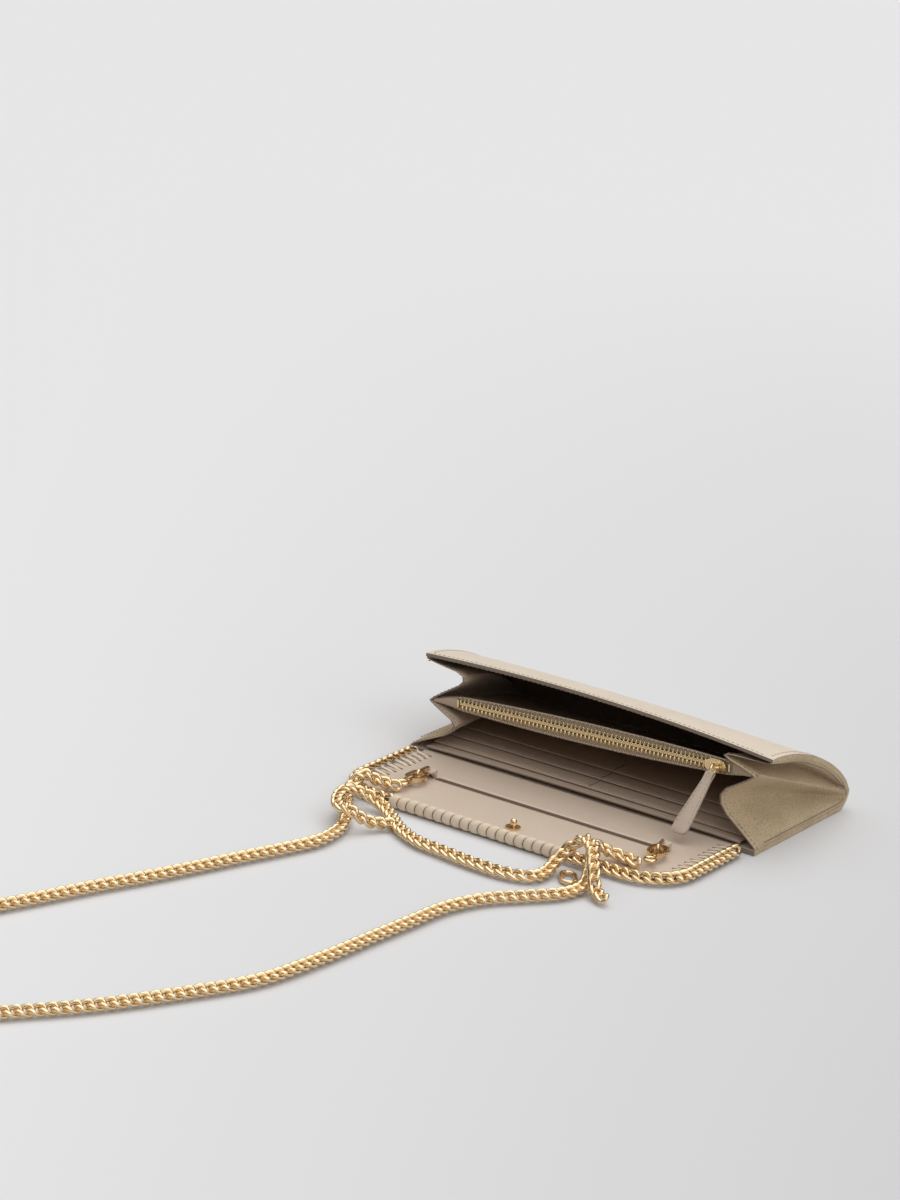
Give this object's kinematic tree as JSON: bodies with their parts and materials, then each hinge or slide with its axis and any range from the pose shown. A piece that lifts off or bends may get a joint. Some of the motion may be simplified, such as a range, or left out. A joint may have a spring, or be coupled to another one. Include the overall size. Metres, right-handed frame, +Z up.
{
  "type": "chain wallet",
  "caption": "Continental wallet with accordion sides, zip pocket, card slots, a laced and chain-trimmed flap, and a removable curb-chain shoulder strap, lying open.",
  "frame": {"origin": "middle of the fold between the back panel and the spine strip, on the surface the wallet lies on", "axes": "+X along the mouth to the right, +Y from the mouth into the body, +Z up; the open flap and the chain lie towards -Y"},
  "size_m": [0.2191, 0.5214, 0.0464],
  "materials": {
    "suede_outer": "fine suede nap",
    "nappa_lining": "smooth matte nappa",
    "gusset_suede": "grainy suede",
    "lace": "suede lace",
    "tape": "herringbone twill tape",
    "zip_metal": "polished pale gold",
    "gold": "polished gold plate"
  },
  "bodies": {
    "flap": {"flap_outer": "suede_outer", "flap_lining": "nappa_lining", "flap_edge_roll": "suede_outer", "flap_edge_lacing": "lace", "flap_trim_left": "gold", "flap_trim_right": "gold", "snap_stud": "gold", "spine_edge": "nappa_lining", "ring_tab_left": "nappa_lining", "ring_tab_right": "nappa_lining", "clasp_left_frame": "gold", "clasp_right_frame": "gold", "strap_chain": "gold", "short_chain": "gold", "oval_link": "gold"},
    "ring_left": {"strap_ring_left": "gold"},
    "ring_right": {"strap_ring_right": "gold"},
    "gate_left": {"clasp_left_gate": "gold"},
    "gate_right": {"clasp_right_gate": "gold"},
    "eye_left": {"clasp_left_eye": "gold"},
    "eye_right": {"clasp_right_eye": "gold"},
    "spine": {"spine_outer": "suede_outer", "spine_lining": "nappa_lining", "spine_trim_left": "gold", "spine_trim_right": "gold"},
    "back": {"back_outer": "suede_outer", "back_lining": "nappa_lining", "end_fold": "suede_outer", "slip_pocket": "nappa_lining", "card_slot_1": "nappa_lining", "card_slot_2": "nappa_lining", "card_slot_3": "nappa_lining", "gusset_left": "gusset_suede", "gusset_right": "gusset_suede"},
    "front": {"front_outer": "suede_outer", "front_lining": "nappa_lining", "snap_socket": "gold"},
    "pocket": {"zip_wall_lower": "nappa_lining", "zip_wall_upper": "nappa_lining", "zip_tape_lower": "tape", "zip_tape_upper": "tape", "zip_teeth_lower": "zip_metal", "zip_teeth_upper": "zip_metal", "zip_stop_left": "zip_metal", "zip_stop_right": "zip_metal"},
    "slider": {"zip_slider": "zip_metal", "zip_slider_back": "zip_metal", "pull_ring": "zip_metal"},
    "pull": {"pull_tab": "nappa_lining"}
  },
  "joints": [
    {"name": "fold", "type": "hinge", "parent": "flap", "child": "spine", "pos_m": [0, -0.027, 0.0024], "axis": [1, 0, 0], "range_deg": [0, 90], "deforming": ["strap_chain", "short_chain"]},
    {"name": "back_fold", "type": "hinge", "parent": "spine", "child": "back", "pos_m": [0, 0, 0.0024], "axis": [1, 0, 0], "range_deg": [0, 70]},
    {"name": "front_close", "type": "hinge", "parent": "back", "child": "front", "pos_m": [0, 0.0893, 0.0105], "axis": [1, 0, 0], "range_deg": [0, 15], "deforming": ["gusset_left", "gusset_right"]},
    {"name": "pocket_close", "type": "hinge", "parent": "back", "child": "pocket", "pos_m": [0, 0.084, 0.01], "axis": [1, 0, 0], "range_deg": [0, 13]},
    {"name": "zip_slide", "type": "slide", "parent": "pocket", "child": "slider", "axis": [-0.9985, 0, -0.0545], "range_m": [0, 0.132]},
    {"name": "pull_tuck", "type": "hinge", "parent": "slider", "child": "pull", "pos_m": [0.067, 0.0033, 0.03386], "axis": [1, 0, 0], "range_deg": [0, 108], "deforming": ["pull_tab"]},
    {"name": "ring_left_turn", "type": "hinge", "parent": "flap", "child": "ring_left", "pos_m": [-0.064, -0.031, 0.00575], "axis": [0, 0, 1], "range_deg": [-7, 0]},
    {"name": "clasp_left_gate", "type": "hinge", "parent": "flap", "child": "gate_left", "pos_m": [-0.0607, -0.0442, 0.00575], "axis": [0, 0, 1], "range_deg": [0, 20], "stiffness_Nm_per_rad": 0.002},
    {"name": "clasp_left_swivel", "type": "hinge", "parent": "flap", "child": "eye_left", "pos_m": [-0.064, -0.0479, 0.00575], "axis": [0, -1, 0], "range_deg": [-15, 15]},
    {"name": "ring_right_turn", "type": "hinge", "parent": "flap", "child": "ring_right", "pos_m": [0.064, -0.031, 0.00575], "axis": [0, 0, 1], "range_deg": [-7, 0]},
    {"name": "clasp_right_gate", "type": "hinge", "parent": "flap", "child": "gate_right", "pos_m": [0.0706, -0.0429, 0.00575], "axis": [0, 0, 1], "range_deg": [0, 20], "stiffness_Nm_per_rad": 0.002},
    {"name": "clasp_right_swivel", "type": "hinge", "parent": "flap", "child": "eye_right", "pos_m": [0.06837, -0.04732, 0.00575], "axis": [0.2588, -0.9659, 0], "range_deg": [-15, 15]}
  ],
  "couplings": [
    {"joint": "back_fold", "follows": "fold", "ratio": 0.77778},
    {"joint": "front_close", "follows": "fold", "ratio": 0.16667},
    {"joint": "pocket_close", "follows": "fold", "ratio": 0.14444},
    {"joint": "pull_tuck", "follows": "fold", "ratio": 1.2}
  ]
}
